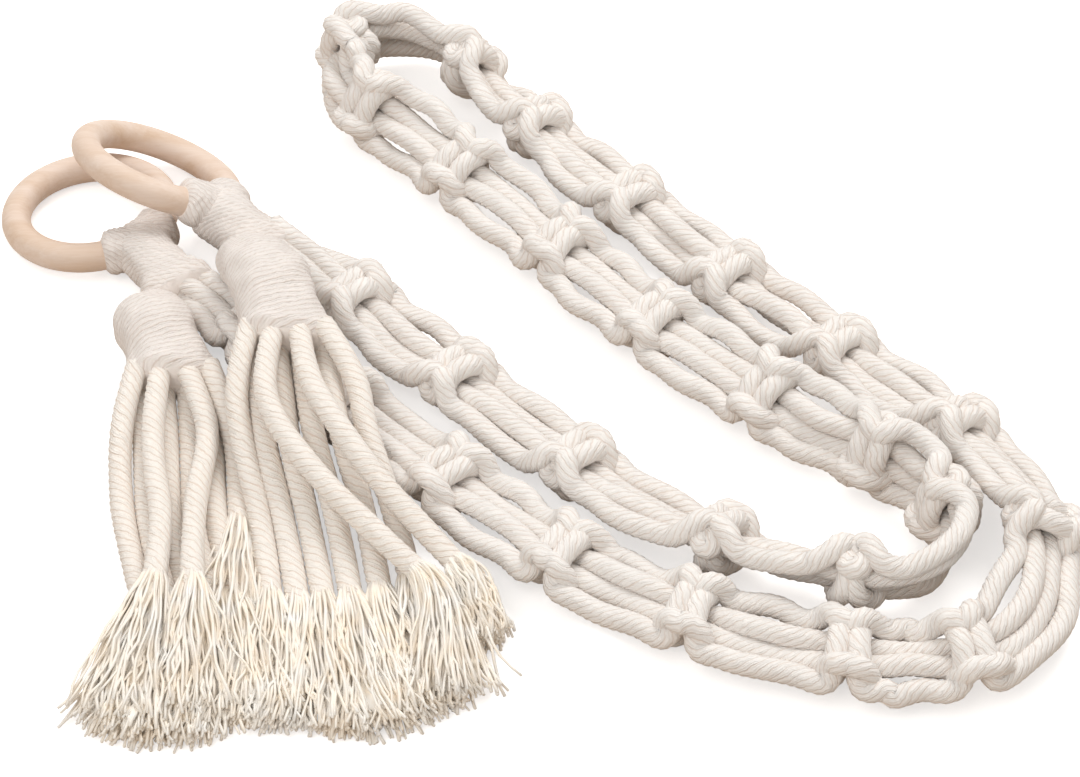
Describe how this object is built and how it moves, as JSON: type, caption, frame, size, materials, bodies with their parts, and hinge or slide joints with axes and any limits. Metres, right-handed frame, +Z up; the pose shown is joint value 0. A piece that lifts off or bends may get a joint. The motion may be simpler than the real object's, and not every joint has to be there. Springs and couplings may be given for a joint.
{
  "type": "macrame carrying strap",
  "caption": "Macrame carrying strap: a long band of knotted cotton cord, with a wooden ring hitched to each end and a frayed tassel below each ring, folded in two on a table",
  "frame": {"origin": "on the table, under the middle of the object's box", "axes": "+Z up; +X along the folded band's long side; +Y away from the tassels' frayed ends"},
  "size_m": [0.3183, 0.3099, 0.0379],
  "materials": {
    "cotton": "soft twisted cotton, undyed",
    "maple": "sanded, unlacquered"
  },
  "bodies": {
    "strap": {"filler_cord_left": "cotton", "filler_cord_right": "cotton", "working_cord_left": "cotton", "working_cord_right": "cotton", "square_knots": "cotton", "ring_hitch_left": "cotton", "ring_hitch_right": "cotton", "neck_wrap_left": "cotton", "neck_wrap_right": "cotton"},
    "ring_left": {"ring_left": "maple"},
    "ring_right": {"ring_right": "maple"},
    "tassel_left": {"tassel_head_left": "cotton", "tassel_fringe_left": "cotton", "tassel_strand_left_1": "cotton", "tassel_strand_left_2": "cotton", "tassel_strand_left_3": "cotton", "tassel_strand_left_4": "cotton", "tassel_strand_left_5": "cotton", "tassel_strand_left_6": "cotton", "tassel_strand_left_7": "cotton", "tassel_strand_left_8": "cotton"},
    "tassel_right": {"tassel_head_right": "cotton", "tassel_fringe_right": "cotton", "tassel_strand_right_1": "cotton", "tassel_strand_right_2": "cotton", "tassel_strand_right_3": "cotton", "tassel_strand_right_4": "cotton", "tassel_strand_right_5": "cotton", "tassel_strand_right_6": "cotton", "tassel_strand_right_7": "cotton", "tassel_strand_right_8": "cotton"}
  },
  "joints": [
    {"name": "ring_left_turn", "type": "hinge", "parent": "strap", "child": "ring_left", "pos_m": [-0.1315, 0.068, 0.0064], "axis": [-0.0499, 0.0499, 0.9975], "continuous": true},
    {"name": "ring_right_turn", "type": "hinge", "parent": "strap", "child": "ring_right", "pos_m": [-0.111, 0.0765, 0.0166], "axis": [0.3715, 0.3413, 0.8634], "continuous": true},
    {"name": "tassel_left_swing", "type": "hinge", "parent": "strap", "child": "tassel_left", "pos_m": [-0.10671, 0.02666, 0.0095], "axis": [0, 0, -1], "range_deg": [0, 15]},
    {"name": "tassel_right_lift", "type": "hinge", "parent": "strap", "child": "tassel_right", "pos_m": [-0.08133, 0.04165, 0.0155], "axis": [-1, 0, 0], "range_deg": [0, 15]}
  ]
}
